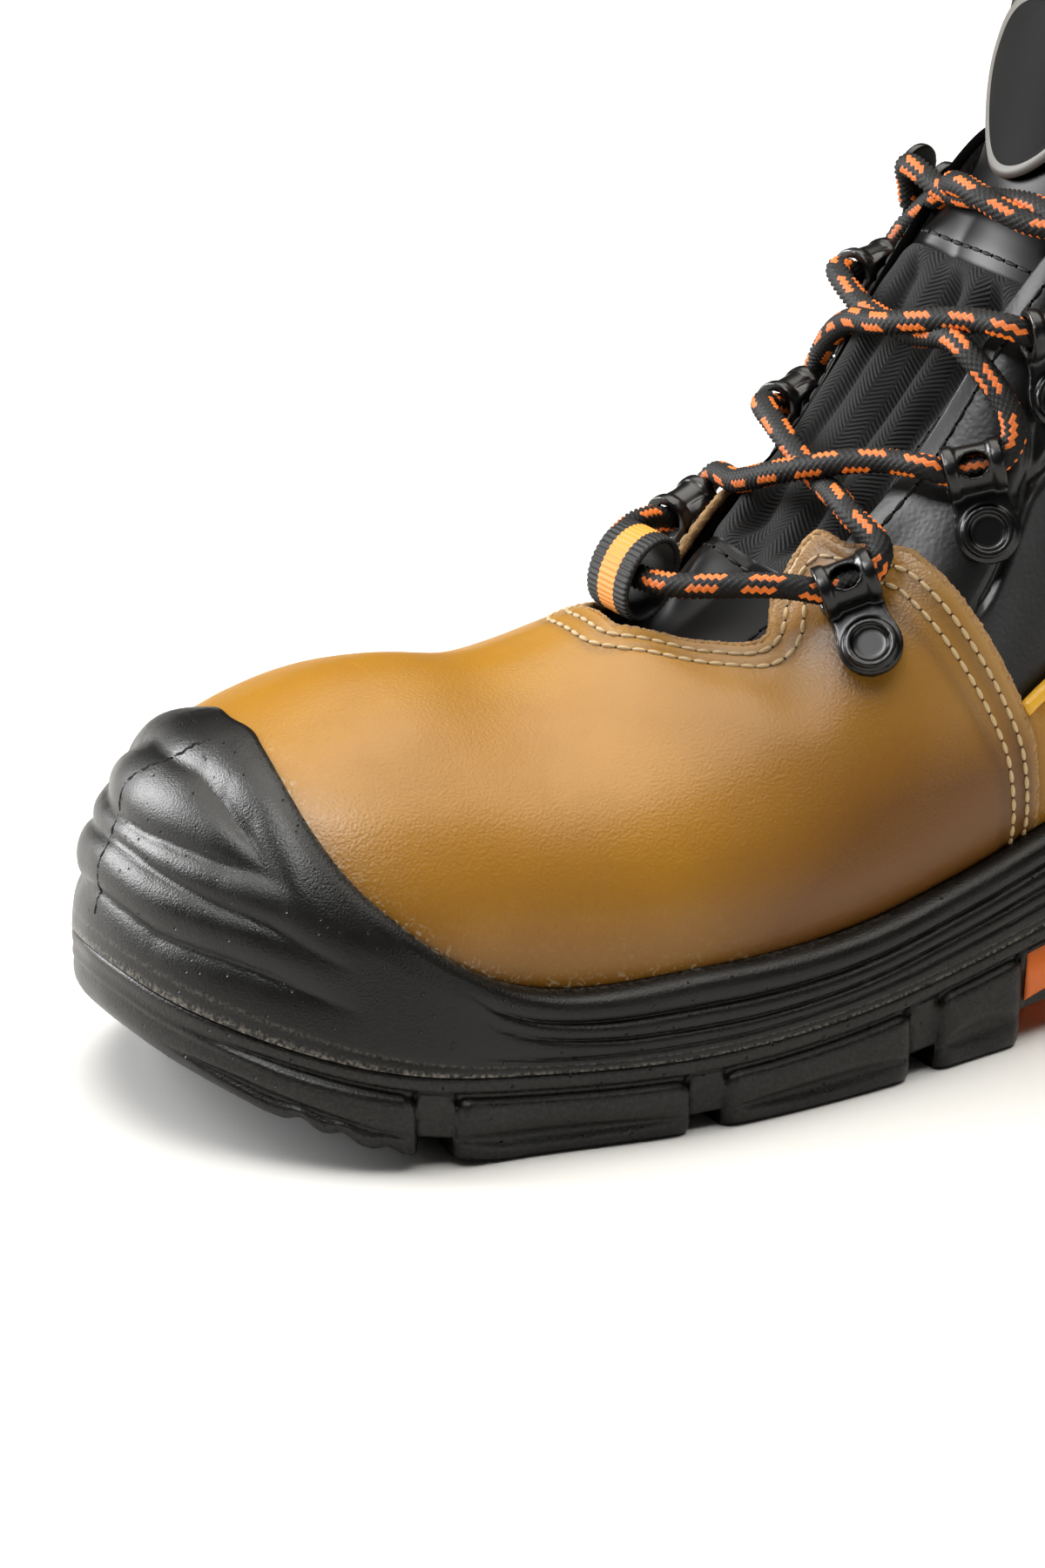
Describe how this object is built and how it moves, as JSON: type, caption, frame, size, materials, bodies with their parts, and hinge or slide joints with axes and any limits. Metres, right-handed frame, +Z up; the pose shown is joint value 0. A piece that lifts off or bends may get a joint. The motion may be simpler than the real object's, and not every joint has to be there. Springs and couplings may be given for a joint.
{
  "type": "safety boot",
  "caption": "Ankle-high lace-up safety boot with a moulded toe bumper, leather overlays, metal lace guides, a padded tongue and a lugged sole, standing empty.",
  "frame": {"origin": "on the floor, under the middle of the boot's bounding box", "axes": "+X to the toe, +Y to the outer (lateral) side, +Z up"},
  "size_m": [0.3048, 0.1158, 0.195],
  "materials": {
    "sole_rubber": "satin moulded",
    "arch_rubber": "matt moulded",
    "upper_leather": "satin",
    "overlay_leather": "smooth grain, waxed",
    "tongue_textile": "padded twill",
    "patch_rubber": "moulded",
    "insole_textile": "felt",
    "webbing": "woven ribbon",
    "guide_enamel": "glossy enamel",
    "lace": "braided cord"
  },
  "bodies": {
    "root": {"arch_bridge": "arch_rubber", "counter": "overlay_leather", "insole": "insole_textile", "lace_bar": "lace", "lace_cross_1": "lace", "lace_cross_2": "lace", "lace_cross_3": "lace", "lace_hook_lateral": "guide_enamel", "lace_hook_medial": "guide_enamel", "lace_loop_1_lateral": "guide_enamel", "lace_loop_1_medial": "guide_enamel", "lace_loop_2_lateral": "guide_enamel", "lace_loop_2_medial": "guide_enamel", "lace_loop_3_lateral": "guide_enamel", "lace_loop_3_medial": "guide_enamel", "midsole": "sole_rubber", "outsole": "sole_rubber", "tongue": "tongue_textile", "tongue_patch": "patch_rubber", "upper": "upper_leather", "vamp": "overlay_leather", "webbing_loop": "webbing"}
  },
  "joints": []
}
